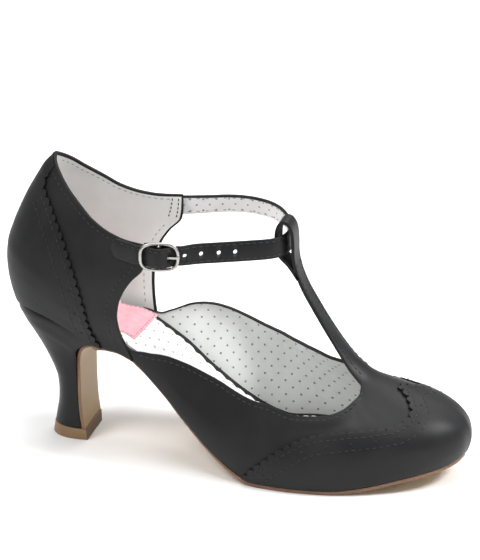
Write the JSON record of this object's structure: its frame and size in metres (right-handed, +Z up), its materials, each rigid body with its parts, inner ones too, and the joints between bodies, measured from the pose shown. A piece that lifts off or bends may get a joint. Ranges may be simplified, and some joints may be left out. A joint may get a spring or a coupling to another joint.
{
  "type": "t strap shoe",
  "caption": "Right T-strap shoe: open-sided heel cup and vamp, pinked toe cap, buckled ankle strap through a loop, curved covered heel.",
  "frame": {"origin": "on the floor under the middle of the heel lift", "axes": "+X to the toe, +Y to the inner side of the foot, +Z up"},
  "size_m": [0.2246, 0.0856, 0.1421],
  "materials": {
    "upper_black": "smooth satin leather look with a fine grain",
    "lining_white": "matte white lining",
    "insole_black": "black board cover with a pinked edge",
    "sole_tan": "smooth tan sole",
    "lift_tan": "matte tan heel lift",
    "pewter": "polished pewter"
  },
  "bodies": {
    "root": {"upper": "upper_black", "toe_cap": "upper_black", "heel_counter": "upper_black", "insole": "insole_black", "sock_lining": "lining_white", "outsole": "sole_tan", "heel": "upper_black", "heel_lift": "lift_tan", "ankle_strap": "upper_black", "buckle_frame": "pewter", "buckle_prong": "pewter", "buckle_tab": "upper_black"}
  },
  "joints": []
}
